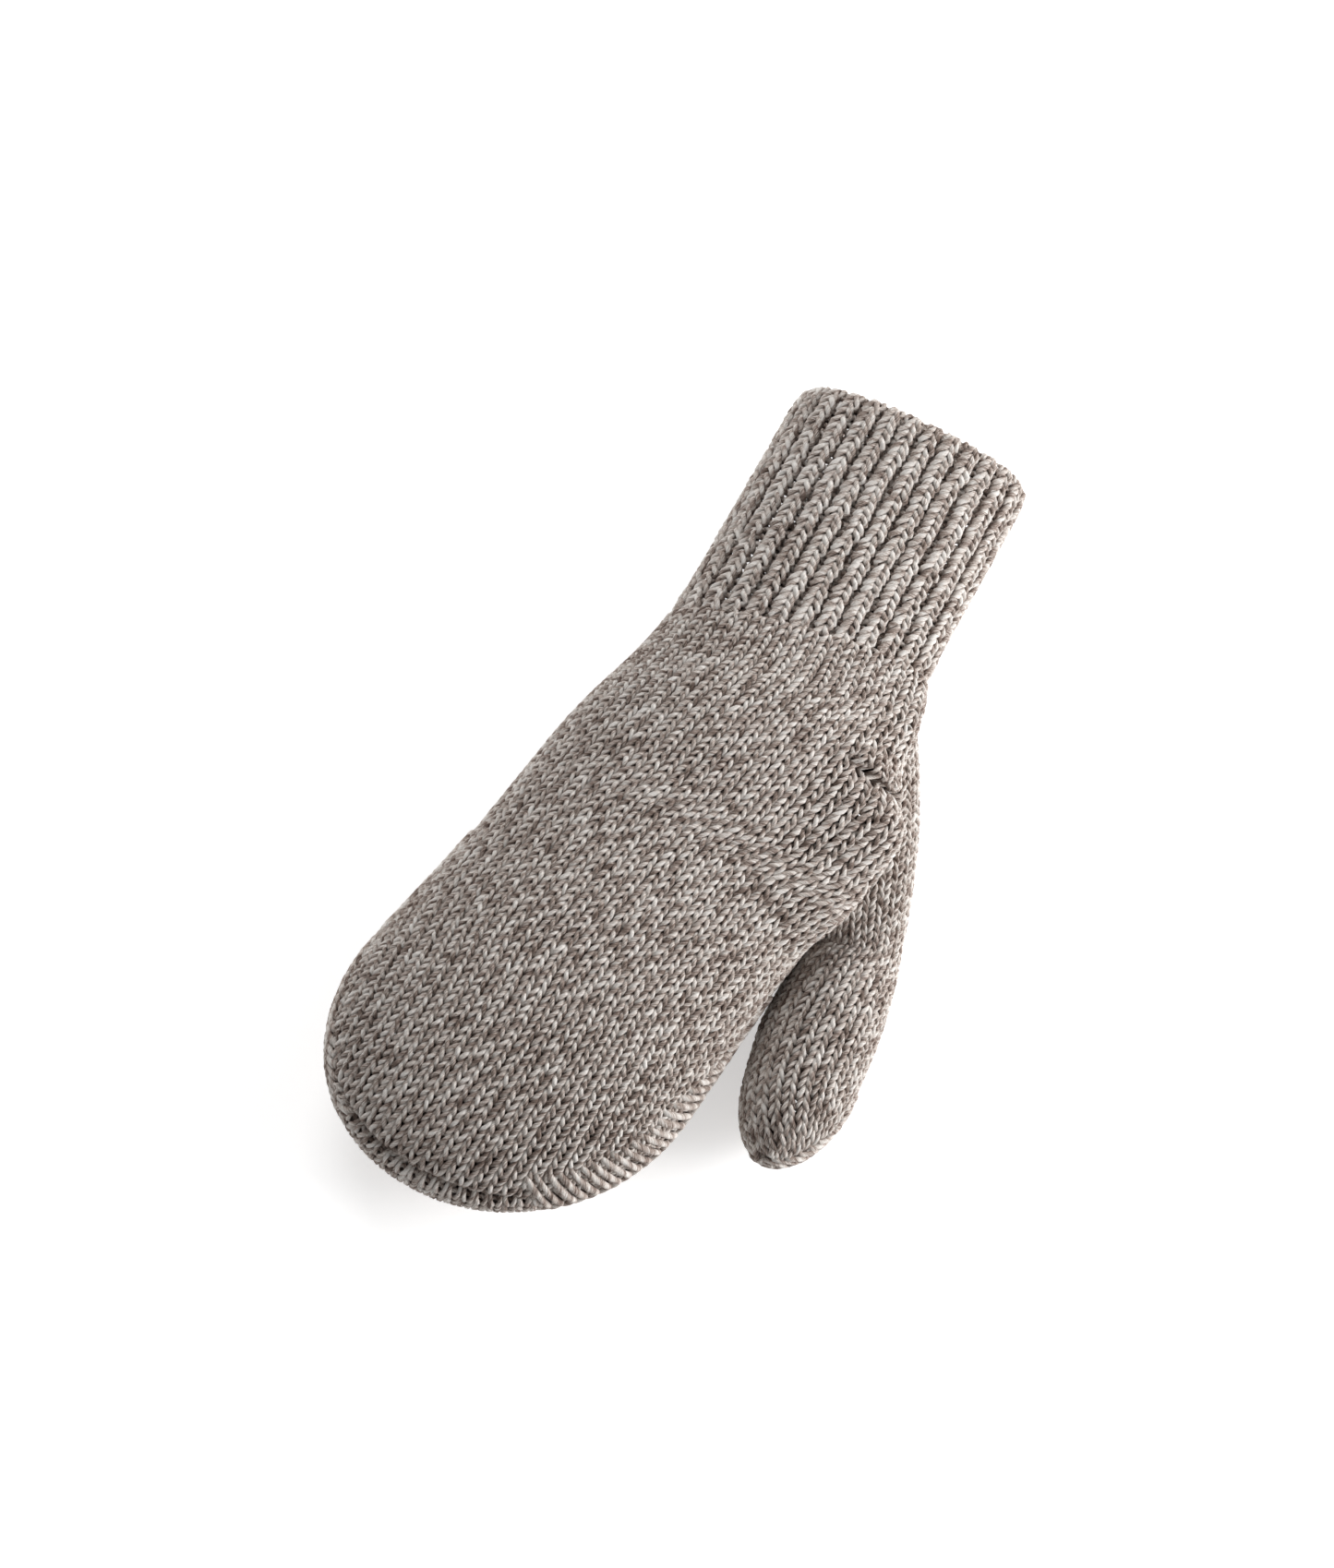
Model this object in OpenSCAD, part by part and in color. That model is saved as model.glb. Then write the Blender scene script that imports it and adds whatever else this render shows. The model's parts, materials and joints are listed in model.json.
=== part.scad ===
// Knitted wool mitten for the right hand, filled out as if worn.
// Lengths are measured from the cuff's edge towards the finger tip (+Y).
// The back of the hand faces +Z, the thumb is on the -X side.
// The origin lies on the palm's flat resting zone, on the cuff's centre line.

/* [Overall] */
// Length from the cuff's edge to the finger tip
length = 269; // [260:1:285]
// Thickness of the knitted fabric
wall = 3; // [2.4:0.1:3.6]
// Distance from the cuff's edge to the origin on the palm
rest_at = 125; // [118:1:132]
// Roundness of the cross-sections, 2 is an ellipse
roundness = 2.3; // [2:0.1:2.6]

/* [Cuff] */
// Length of the ribbed cuff
cuff_length = 78; // [72:1:79]
// Width of the cuff across the hand
cuff_width = 73; // [68:1:76]
// Thickness of the filled cuff from palm to back
cuff_thick = 39; // [35:1:42]
// Height of the cuff's mid-plane above the resting face
cuff_mid = 21.5; // [21:0.5:23]
// Number of ribs round the cuff
rib_count = 28; // [20:2:36]
// Depth of the furrows between the ribs
rib_depth = 1.2; // [0.4:0.1:1.4]
// Length of the cast-on edge
edge_length = 5; // [3:0.5:8]

/* [Hand] */
// Width of the hand at the fingers
hand_width = 95; // [90:0.5:96]
// Height of the side edges above the resting face
hand_mid = 24; // [23:0.5:25]
// Rise of the back above the side edges
back_rise = 21.5; // [18:0.5:24]
// Nominal drop of the palm below the side edges, cut flat where it rests
palm_drop = 25; // [24.5:0.5:26]
// Sideways shift per length of the hand's line, away from the thumb
lean = 0.147; // [0.1:0.005:0.16]
// Slant of the rows at the cuff's edge, as sideways rise
edge_slant = 0.08; // [0:0.01:0.1]
// Slant of the join between cuff and hand
join_slant = 0.27; // [0:0.01:0.3]
// Where the fingers fold, from the cuff's edge
knuckle_at = 166; // [163:1:170]

/* [Finger tip] */
// Length of the rounded end in outline
tip_length = 51; // [48:1:60]
// Roundness of the end's outline
tip_power = 2; // [1.8:0.05:2.2]
// Length over which the fabric closes in thickness
close_length = 80; // [70:1:90]
// Half height of one side stitch column
column_half = 1.3; // [1:0.1:1.8]
// Half height of the decrease bands and the tip seam
band_half = 3; // [2:0.1:4]
// Width of the tip seam
seam_width = 62; // [50:1:70]

/* [Thumb] */
// Start of the gusset, from the cuff's edge
gusset_from = 86; // [85:0.5:90]
// End of the gusset at the crotch
gusset_to = 150; // [148:1:154]
// Angle that the gusset reaches over the back
gusset_up = 28; // [22:1:32]
// Angle that the gusset reaches under the palm
gusset_down = 46; // [40:1:50]
// Centre of the thumb's root
thumb_root = [-57.1, 145.4, 16];
// Spread of the thumb's root from the hand's line
thumb_spread = 22; // [20:1:26]
// Point that the thumb bends round
thumb_bend = [-59.9, 152.6, 16];
// End of the thumb
thumb_end = [-61.4, 212.5, 16];
// Half width of the thumb at its root
thumb_root_r = 12.4; // [11.5:0.1:12.6]
// Half width of the thumb near its tip
thumb_r = 15.6; // [14:0.1:15.7]
// Half height of the thumb
thumb_high_r = 15.5; // [14:0.1:15.8]
// Length of the rounded thumb tip
thumb_tip_length = 26; // [20:1:30]

/* [Motion] */
// Bend of the wrist each way
wrist_angle = 20; // [10:1:25]
// Swing of the thumb away from the hand
thumb_angle = 25; // [10:1:30]
// Half of the gap between moving sections
half_gap = 0.3; // [0.2:0.05:0.5]

/* [Hidden] */
wool = "#99918b";
wool_light = "#aaa39d";
wool_dark = "#857c76";
curve_power = 2 / roundness;
widen_before_join = 16;
widen_from = cuff_length - widen_before_join;
widen_length = 80;
settle_before_join = 10;
settle_length = 50;
swell = 2.5;
swell_from = 170;
swell_length = 50;
lean_from = 113;
lean_settled = 145;
slant_fades = 55;
join_angle = atan(join_slant);
gusset_mid = (gusset_from + gusset_to) / 2;
gusset_half = (gusset_to - gusset_from) / 2;
gusset_bulge = 3;
band_after_fold = 6;
band_from = knuckle_at + band_after_fold;
band_grow = 40;
cuff_swell = 0.8;
points_per_rib = 4;
around_cuff = rib_count * points_per_rib;
across = 20;
rows_cuff = 5;
rows_gusset = 12;
rows_finger = 14;
rows_loft = 5;
rows_thumb = 8;
rows_thumb_tip = 7;
around_thumb = 2 * rows_gusset;
band_levels = [-1, -0.5, 0, 0.5, 1];
thumb_pinhole = 0.05;
thumb_outline_share = 0.62;
thumb_widens_by = 1.3;
root_blend_power = 6;
join_row = 0.5;
least_share = 0.0001;
shell_convexity = 8;

// ---- shape of the filled mitten ----

function ease(t) = let (c = min(max(t, 0), 1)) c * c * (3 - 2 * c);
function mix(a, b, t) = a + (b - a) * t;
function rounded(v) = sign(v) * pow(abs(v), curve_power);
function unit(v) = v / norm(v);

// The hand's line leaves the cuff's line along a curve and runs on straight
function centre_x(s) =
    let (bend = lean_settled - lean_from, t = min(max(s - lean_from, 0), bend))
    lean * (t * t / (2 * bend) + max(0, s - lean_settled));

// Rise of a row along Y per distance sideways
function slant(s) = s < cuff_length
    ? mix(edge_slant, join_slant, ease(s / cuff_length))
    : join_slant * (1 - ease((s - cuff_length) / slant_fades));

// Share of the change from the cuff's heights to the hand's
function settled(s) = ease((s - cuff_length + settle_before_join) / settle_length);
function mid_z(s) = mix(cuff_mid, hand_mid, settled(s));
function base_half_width(s) = mix(cuff_width, hand_width, ease((s - widen_from) / widen_length)) / 2
    + swell * ease((s - swell_from) / swell_length);
function back_half(s) = mix(cuff_thick / 2, back_rise, settled(s));
function palm_half(s) = mix(cuff_thick / 2, palm_drop, settled(s));

// Share of the full width left at s, 0 at the very tip
function outline_share(s) =
    let (t = max(0, (s - length + tip_length) / tip_length))
    pow(max(0, 1 - pow(t, tip_power)), 1 / tip_power);

// Share of the full thickness left at s, 0 at the very tip
function close_share(s) =
    let (t = max(0, (s - length + close_length) / close_length))
    sqrt(max(0, 1 - t * t));

// The place along the finger section where the thickness has fallen to a share
function where_closed(share) = length - close_length + close_length * sqrt(1 - share * share);

// A point of the fabric: angle 0 is the little-finger side, 90 the back, 180 the thumb side.
// The inside of the fabric is at depth = wall, and stops short of the tip by as much.
function skin(angle, s, depth) =
    let (half_z = sin(angle) >= 0 ? back_half(s) : palm_half(s),
         x = centre_x(s) + (base_half_width(s) - depth) * outline_share(s) * rounded(cos(angle)),
         z = mid_z(s) + (half_z - depth) * close_share(s) * rounded(sin(angle)),
         beyond = max(0, s - knuckle_at),
         y = s + slant(s) * x - depth * beyond / (length - knuckle_at))
    [x, y - rest_at, max(z, depth)];

// ---- closed shell between an outer and an inner grid of points ----

function flat(list) = [for (row = list) for (item = row) item];
function two(a, b, c, d) = [[a, b, c], [a, c, d]];

module shell(outer, inner, wrap = false) {
    rows = len(outer);
    cols = len(outer[0]);
    last = wrap ? cols - 1 : cols - 2;
    half = rows * cols;
    points = concat(flat(outer), flat(inner));
    skin_faces = flat([for (r = [0 : rows - 2]) for (c = [0 : last])
        let (n = (c + 1) % cols, a = r * cols + c, b = r * cols + n,
             d = (r + 1) * cols + c, e = (r + 1) * cols + n)
        concat(two(a, d, e, b), two(half + a, half + b, half + e, half + d))]);
    end_faces = flat([for (c = [0 : last])
        let (n = (c + 1) % cols, top = (rows - 1) * cols)
        concat(two(c, n, half + n, half + c),
               two(top + n, top + c, half + top + c, half + top + n))]);
    side_faces = wrap ? [] : flat([for (r = [0 : rows - 2])
        let (a = r * cols, d = (r + 1) * cols, b = a + cols - 1, e = d + cols - 1)
        concat(two(d, a, half + a, half + d), two(b, e, half + e, half + b))]);
    polyhedron(points, concat(skin_faces, end_faces, side_faces), convexity = shell_convexity);
}

// ---- cuff ----

// Angle that grows evenly with the distance round the cuff
function even_angle(angle) =
    let (mean = (cuff_width + cuff_thick) / 4, spread = (cuff_width - cuff_thick) / 4)
    angle - spread / (2 * mean) * sin(2 * angle) * 180 / PI;

// The V-shaped gap that lets the wrist bend, widest at the back and the palm
function wrist_gap(angle) =
    (half_gap + abs(skin(angle, cuff_length, 0)[2] - cuff_mid) * tan(wrist_angle / 2)) / cos(join_angle);

function furrow(angle) = rib_depth * (1 - cos(rib_count * even_angle(angle))) / 2;

function cuff_grid(depth, from, to) =
    [for (r = [0 : rows_cuff]) [for (c = [0 : around_cuff - 1])
        let (angle = 360 * c / around_cuff,
             s = mix(from, to - (to == cuff_length ? wrist_gap(angle) : 0), r / rows_cuff))
        skin(angle, s, depth > 0 ? depth : furrow(angle))]];

module ribbed_cuff() {
    color(wool_light)
        shell(cuff_grid(0, edge_length, cuff_length), cuff_grid(wall, edge_length, cuff_length), true);
}

module cuff_edge() {
    function swollen(depth) = [for (r = [0 : rows_cuff]) [for (c = [0 : around_cuff - 1])
        let (angle = 360 * c / around_cuff, t = r / rows_cuff,
             puff = cuff_swell * sin(180 * t), fold = depth > 0 ? depth + puff : -puff)
        skin(angle, edge_length * t, fold)]];
    color(wool_dark) shell(swollen(0), swollen(wall), true);
}

// ---- hand ----

// Rows along the hand: they crowd at both ends of the gusset
function gusset_row(k) = gusset_mid - gusset_half * cos(180 * k / rows_gusset);
// The first two are shares of the way from the wrist's gap to the gusset
hand_rows = concat([0, join_row], [for (k = [0 : rows_gusset]) gusset_row(k)],
                   [(gusset_to + knuckle_at) / 2, knuckle_at - half_gap]);

function opening_share(s) =
    let (t = (s - gusset_mid) / gusset_half) abs(t) < 1 ? sqrt(1 - t * t) : 0;

function hand_grid(depth, back) =
    [for (row = hand_rows) [for (c = [0 : across])
        let (reach = back ? -gusset_up : gusset_down,
             inner_angle = 180 + reach * opening_share(row),
             angle = back ? mix(0, inner_angle, c / across) : mix(inner_angle, 360, c / across),
             start = cuff_length + wrist_gap(angle),
             s = row < 1 ? mix(start, gusset_from, row) : row)
        skin(angle, s, depth)]];

module hand_back() {
    color(wool) shell(hand_grid(0, true), hand_grid(wall, true));
}

module hand_palm() {
    color(wool_light) shell(hand_grid(0, false), hand_grid(wall, false));
}

// ---- thumb ----

// Loop round the thumb's opening in the hand: step 0 is the gusset's point near the cuff,
// then over the back to the crotch and home under the palm
function opening_point(step, depth) =
    let (turn = 180 * step / rows_gusset,
         reach = sin(turn) >= 0 ? gusset_up : gusset_down)
    skin(180 - reach * sin(turn), gusset_mid - gusset_half * cos(turn), depth);

thumb_out = [-cos(thumb_spread), -sin(thumb_spread), 0];
thumb_along = [-sin(thumb_spread), cos(thumb_spread), 0];
upwards = [0, 0, 1];

// Centre line of the thumb, t from 0 at the root to 1 at the end
function thumb_centre(t) =
    (1 - t) * (1 - t) * thumb_root + 2 * t * (1 - t) * thumb_bend + t * t * thumb_end;
function thumb_run(t) = unit((1 - t) * (thumb_bend - thumb_root) + t * (thumb_end - thumb_bend));

thumb_reach = norm(thumb_bend - thumb_root) + norm(thumb_end - thumb_bend);
tip_starts = 1 - thumb_tip_length / thumb_reach * thumb_outline_share;

function thumb_share(t, depth) =
    let (u = max(0, (t - tip_starts) / (1 - tip_starts)))
    sqrt(max(thumb_pinhole * thumb_pinhole, 1 - u * u));

// Ring point of the thumb's fabric; the step runs as in opening_point
function thumb_point(step, t, depth) =
    let (turn = 180 * step / rows_gusset,
         run = thumb_run(t),
         side = unit(cross(upwards, run)),
         half_w = mix(thumb_root_r, thumb_r, ease(t * thumb_widens_by)) - depth,
         half_h = thumb_high_r - depth,
         back_off = depth * t * t,
         share = thumb_share(t, depth),
         spot = thumb_centre(t) - run * back_off + side * half_w * share * cos(turn)
                + upwards * half_h * share * sin(turn))
    [spot[0], spot[1] - rest_at, max(spot[2], depth)];

// Ring at the thumb's root; the gap that lets the thumb swing outwards is widest on its outer side.
// way is 1 for the thumb's edge and -1 for the gusset's
function root_ring(step, depth, way) =
    let (turn = 180 * step / rows_gusset,
         lateral = (thumb_root_r - depth) * cos(turn),
         shift = way * (half_gap + max(0, lateral) * tan(thumb_angle / 2)),
         spot = thumb_root + thumb_out * lateral + upwards * (thumb_high_r - depth) * sin(turn)
                + thumb_along * shift)
    [spot[0], spot[1] - rest_at, max(spot[2], depth)];

function gusset_grid(depth) =
    [for (r = [0 : rows_loft]) [for (step = [0 : around_thumb - 1])
        let (t = r / rows_loft,
             bulge = gusset_bulge * sin(180 * t) * max(0, cos(180 * step / rows_gusset)))
        mix(opening_point(step, depth), root_ring(step, depth, -1), t) + bulge * thumb_out]];

module thumb_gusset() {
    color(wool_dark) shell(gusset_grid(0), gusset_grid(wall), true);
}

function tube_grid(depth) =
    [for (r = [0 : rows_thumb]) [for (step = [0 : around_thumb - 1])
        let (t = tip_starts * r / rows_thumb, start = root_ring(step, depth, 1))
        r == 0 ? start : mix(thumb_point(step, t, depth), start, pow(1 - r / rows_thumb, root_blend_power))]];

module thumb_tube() {
    color(wool_light) shell(tube_grid(0), tube_grid(wall), true);
}

function tip_grid(depth) =
    [for (r = [0 : rows_thumb_tip]) [for (step = [0 : around_thumb - 1])
        let (t = mix(tip_starts, 1, sin(90 * r / rows_thumb_tip)))
        thumb_point(step, t, depth)]];

module thumb_tip() {
    color(wool_dark) shell(tip_grid(0), tip_grid(wall), true);
}

// ---- fingers ----

finger_from = knuckle_at + half_gap;

function edge_half(s) = mix(column_half, band_half, ease((s - band_from) / band_grow));
function half_at(s, level) = level >= 0 ? back_half(s) : palm_half(s);

// Rows along the finger section for a height level, crowding at the tip
function finger_row(j, level) =
    let (end = where_closed(abs(level) * band_half / half_at(length, level)))
    mix(finger_from, end, sin(90 * j / rows_finger));

// Angle up from the side edge at which the band's height level is reached
function level_angle(s, level) =
    let (share = abs(level) * edge_half(s) / (half_at(s, level) * max(close_share(s), least_share)))
    sign(level) * asin(min(1, pow(share, 1 / curve_power)));

function finger_grid(depth, level) =
    [for (j = [0 : rows_finger - 1]) [for (c = [0 : across])
        let (s = finger_row(j, level), low = level_angle(s, level),
             angle = level > 0 ? mix(low, 180 - low, c / across)
                               : mix(180 - low, 360 + low, c / across))
        skin(angle, s, depth)]];

module finger_back() {
    color(wool) shell(finger_grid(0, 1), finger_grid(wall, 1));
}

module finger_palm() {
    color(wool_light) shell(finger_grid(0, -1), finger_grid(wall, -1));
}

// Number of rows from the knuckles to the end of a decrease band
band_rows = max([for (j = [0 : rows_finger])
    base_half_width(length) * outline_share(finger_row(j, 0)) > seam_width / 2 ? j : 0]);

// A point on the thin strip along the side edge; side is 1 at the little finger, -1 at the thumb
function edge_point(j, level, side, depth) =
    let (s = finger_row(j, level), up = level_angle(s, level))
    skin(side > 0 ? up : 180 - up, s, depth);

function band_grid(side, depth) =
    [for (j = [0 : band_rows]) [for (level = side * band_levels) edge_point(j, level, side, depth)]];

module decrease_band_thumb_side() {
    color(wool_dark) shell(band_grid(-1, 0), band_grid(-1, wall));
}

module decrease_band_little_finger_side() {
    color(wool_dark) shell(band_grid(1, 0), band_grid(1, wall));
}

function seam_grid(depth) = concat(
    [for (j = [band_rows : rows_finger]) [for (level = band_levels) edge_point(j, level, 1, depth)]],
    [for (j = [1 : rows_finger - band_rows])
        [for (level = band_levels) edge_point(rows_finger - j, level, -1, depth)]]);

module tip_seam() {
    color(wool_dark) shell(seam_grid(0), seam_grid(wall));
}

ribbed_cuff();
cuff_edge();
hand_back();
hand_palm();
thumb_gusset();
thumb_tube();
thumb_tip();
finger_back();
finger_palm();
decrease_band_thumb_side();
decrease_band_little_finger_side();
tip_seam();
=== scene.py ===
"""A knitted wool mitten for the right hand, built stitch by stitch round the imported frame."""
import json
import math

import bpy
import numpy as np
from mathutils import Matrix, Vector


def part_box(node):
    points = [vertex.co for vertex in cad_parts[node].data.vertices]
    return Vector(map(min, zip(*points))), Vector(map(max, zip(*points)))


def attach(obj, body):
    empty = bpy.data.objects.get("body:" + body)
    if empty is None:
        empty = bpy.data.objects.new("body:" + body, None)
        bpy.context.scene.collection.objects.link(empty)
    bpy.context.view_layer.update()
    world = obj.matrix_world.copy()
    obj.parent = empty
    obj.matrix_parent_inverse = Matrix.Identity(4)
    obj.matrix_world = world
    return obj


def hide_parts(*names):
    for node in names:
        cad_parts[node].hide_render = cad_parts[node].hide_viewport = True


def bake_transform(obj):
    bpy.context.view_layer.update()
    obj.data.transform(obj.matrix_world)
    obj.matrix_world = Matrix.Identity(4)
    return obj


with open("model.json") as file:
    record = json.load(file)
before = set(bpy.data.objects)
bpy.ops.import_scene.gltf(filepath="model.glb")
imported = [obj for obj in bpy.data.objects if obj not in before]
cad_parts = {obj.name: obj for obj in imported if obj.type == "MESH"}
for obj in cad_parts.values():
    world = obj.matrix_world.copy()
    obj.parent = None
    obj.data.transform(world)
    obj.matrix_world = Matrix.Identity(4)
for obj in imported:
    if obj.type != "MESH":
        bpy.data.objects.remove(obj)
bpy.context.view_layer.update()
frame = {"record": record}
MM = 0.001
TAU = 2 * math.pi

# ---- places read from the frame, in millimetres ----

JOINTS = {joint["name"]: joint for joint in frame["record"]["behaviour"]["joints"]}


def joint_place(name):
    return np.array(JOINTS[name]["pos_m"]) / MM


def far_corner(name):
    """The far corner of a CAD part's box."""
    return np.array(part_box(name)[1]) / MM


# Lengths along the mitten are counted from the cuff's edge; this is the origin's place on that scale
REST_AT = 125.0
FROM_EDGE = np.array([0, REST_AT, 0])
CUFF_LENGTH = joint_place("wrist_bend")[1] + REST_AT
CUFF_MID = joint_place("wrist_bend")[2]
KNUCKLE_AT = joint_place("finger_fold")[1] + REST_AT
LENGTH = far_corner("tip_seam")[1] + REST_AT

# ---- camera: above the back of the hand, tilted towards the finger tip ----

VIEW_CENTRE = Vector((-5, 9, 20)) * MM
VIEW_DISTANCE = 1300 * MM
VIEW_TILT = math.radians(19)
VIEW_ROLL = math.radians(29.5)
VIEW_LENS = 105.5
SENSOR = 36.0
SHIFT_X = -0.0326
SHIFT_Y = 0.027


def make_camera():
    camera = bpy.data.objects.new("camera", bpy.data.cameras.new("camera"))
    bpy.context.scene.collection.objects.link(camera)
    away = Vector((0, math.sin(VIEW_TILT), math.cos(VIEW_TILT)))
    up = Vector((0, -math.cos(VIEW_TILT), math.sin(VIEW_TILT)))
    right = up.cross(away)
    turned_right = right * math.cos(VIEW_ROLL) + up * math.sin(VIEW_ROLL)
    turned_up = up * math.cos(VIEW_ROLL) - right * math.sin(VIEW_ROLL)
    axes = Matrix((turned_right, turned_up, away)).transposed()
    camera.matrix_world = Matrix.Translation(VIEW_CENTRE + away * VIEW_DISTANCE) @ axes.to_4x4()
    camera.data.lens = VIEW_LENS
    camera.data.sensor_width = SENSOR
    camera.data.shift_x = SHIFT_X
    camera.data.shift_y = SHIFT_Y
    bpy.context.scene.camera = camera


make_camera()

# ---- small helpers ----

TINY = 1e-9
LAST_CELL = 1.001  # taken off a table's size, this keeps a place inside the last cell


def ease(t):
    """Smooth step: 0 up to t = 0, 1 from t = 1."""
    t = np.clip(t, 0, 1)
    return t * t * (3 - 2 * t)


def grown(value, start, length):
    """Smooth step that begins at a start and is complete a length further on."""
    return ease((value - start) / length)


def mix(a, b, t):
    return a + (b - a) * t


def unit(v):
    return v / np.maximum(np.linalg.norm(v, axis=-1, keepdims=True), TINY)


def run_along(points):
    """Distance from the first point to each of a line's points."""
    return np.concatenate([[0], np.cumsum(np.linalg.norm(np.diff(points, axis=0), axis=1))])


def cell_at(place, size):
    """The table cell that holds a place, and how far into it the place is."""
    place = np.clip(place, 0, size - LAST_CELL)
    i = place.astype(int)
    return i, place - i


def between(table, row, col):
    """The value of a table at a place between its rows and its columns."""
    i, into_row = cell_at(row, table.shape[0])
    j, into_col = cell_at(col, table.shape[1])
    near = mix(table[i, j], table[i, j + 1], into_col)
    far = mix(table[i + 1, j], table[i + 1, j + 1], into_col)
    return mix(near, far, into_row)


# ---- the filled shape, by the same rules as the CAD model ----

ROUNDNESS = 2.3
CURVE_POWER = 2 / ROUNDNESS
WALL = 3.0
CUFF_WIDTH = 73.0
CUFF_THICK = 39.0
HAND_WIDTH = 95.0
HAND_MID = 24.0
BACK_RISE = 21.5
PALM_DROP = 25.0
LEAN = 0.147
LEAN_FROM = 113.0
LEAN_SETTLED = 145.0
EDGE_SLANT = 0.08
JOIN_SLANT = 0.27
SLANT_FADES = 55.0
HAND_FROM = CUFF_LENGTH - 10
HAND_SETTLES = 50.0
WIDEN_FROM = CUFF_LENGTH - 16
WIDEN_LENGTH = 80.0
SWELL = 2.5
SWELL_FROM = 170.0
SWELL_LENGTH = 50.0
TIP_LENGTH = 51.0
CLOSE_LENGTH = 80.0

# Depth of the middle of the knitted layer below the outside of the fabric
LAYER = WALL / 2
BACK = 1
PALM = -1


def rounded(v):
    return np.sign(v) * np.abs(v) ** CURVE_POWER


def centre_x(s):
    bend = LEAN_SETTLED - LEAN_FROM
    t = np.clip(s - LEAN_FROM, 0, bend)
    return LEAN * (t * t / (2 * bend) + np.maximum(0, s - LEAN_SETTLED))


def slant(s):
    in_cuff = mix(EDGE_SLANT, JOIN_SLANT, ease(s / CUFF_LENGTH))
    in_hand = JOIN_SLANT * (1 - grown(s, CUFF_LENGTH, SLANT_FADES))
    return np.where(s < CUFF_LENGTH, in_cuff, in_hand)


def hand_share(s):
    return grown(s, HAND_FROM, HAND_SETTLES)


def base_half_width(s):
    return (mix(CUFF_WIDTH, HAND_WIDTH, grown(s, WIDEN_FROM, WIDEN_LENGTH)) / 2
            + SWELL * grown(s, SWELL_FROM, SWELL_LENGTH))


def share_left(s, closing_length):
    t = np.clip((s - LENGTH + closing_length) / closing_length, 0, 1)
    return np.sqrt(1 - t * t)


def skin(angle, s, depth):
    """A point of the fabric: angle 0 is the little-finger side, a quarter turn the back."""
    up = np.sin(angle)
    half_x = (base_half_width(s) - depth) * share_left(s, TIP_LENGTH)
    half_z = mix(CUFF_THICK / 2, np.where(up >= 0, BACK_RISE, PALM_DROP), hand_share(s))
    x = centre_x(s) + half_x * rounded(np.cos(angle))
    z = mix(CUFF_MID, HAND_MID, hand_share(s)) + (half_z - depth) * share_left(s, CLOSE_LENGTH) * rounded(up)
    beyond = np.maximum(0, s - KNUCKLE_AT)
    y = s + slant(s) * x - depth * beyond / (LENGTH - KNUCKLE_AT)
    return np.stack([x, y, np.maximum(z, depth)], axis=-1)


# ---- distances round a section, from the middle of the back or of the palm to a side edge ----

TABLE_STEP = 0.5
TABLE_S = np.arange(0, LENGTH + TABLE_STEP, TABLE_STEP).clip(0, LENGTH)
TABLE_TURNS = 129
SHARES = np.linspace(0, 1, TABLE_TURNS)


def quarter_tables(half):
    """Length of a quarter section at each s, and the turn from its middle at each share of it."""
    turns = np.linspace(0, math.pi / 2, TABLE_TURNS)
    grid_s, grid_turn = np.meshgrid(TABLE_S, turns, indexing="ij")
    points = skin(half * (math.pi / 2 - grid_turn), grid_s, LAYER)
    points[..., 1] = 0
    steps = np.linalg.norm(np.diff(points, axis=1), axis=-1)
    run = np.concatenate([np.zeros((len(TABLE_S), 1)), np.cumsum(steps, axis=1)], axis=1)
    total = run[:, -1]
    share = run / np.maximum(total, TINY)[:, None]
    turn = np.array([np.interp(SHARES, row, turns) for row in share])
    turn[-1] = turn[-2]  # the section has closed at the tip, so the last row repeats the one before
    return total, turn


QUARTERS = {half: quarter_tables(half) for half in (BACK, PALM)}


def quarter_length(s, half):
    return np.interp(s, TABLE_S, QUARTERS[half][0])


def angle_at(a, s, half):
    """Angle of the point at distance a from the middle line, positive towards the little finger."""
    share = np.clip(np.abs(a) / np.maximum(quarter_length(s, half), TINY), 0, 1)
    turn = between(QUARTERS[half][1], s / TABLE_STEP, share * (TABLE_TURNS - 1))
    return half * (math.pi / 2 - np.sign(a) * turn)


# ---- yarn ----

SIDES = 8
SAMPLES = 14
YARN_TURN = 5.0
PLY_LOBE = 0.09
THICK_VARIES = 0.07
THICK_SPACING = 7
TONE_VARIES = 0.9
TONE_SPACING = 6.5
LONG_TONE_VARIES = 0.3
LONG_TONE_SPACING = 30
SPARE_KNOTS = 4
rng = np.random.default_rng(11)


class Strand:
    """One length of yarn: ring centres, outward direction, radius, closed or not, and painted shade for how
    low it lies.
    """

    def __init__(self, points, outward, radius, closed=False, shade=0.0):
        self.points = points
        self.outward = outward
        self.radius = radius
        self.closed = closed
        self.shade = shade


def wandering(run, spacing):
    """Smooth random values along a yarn, one knot per spacing."""
    knots = rng.normal(0, 1, int(run[-1] / spacing) + SPARE_KNOTS)
    place = run / spacing
    i = place.astype(int)
    return mix(knots[i], knots[i + 1], ease(place - i))


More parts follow.
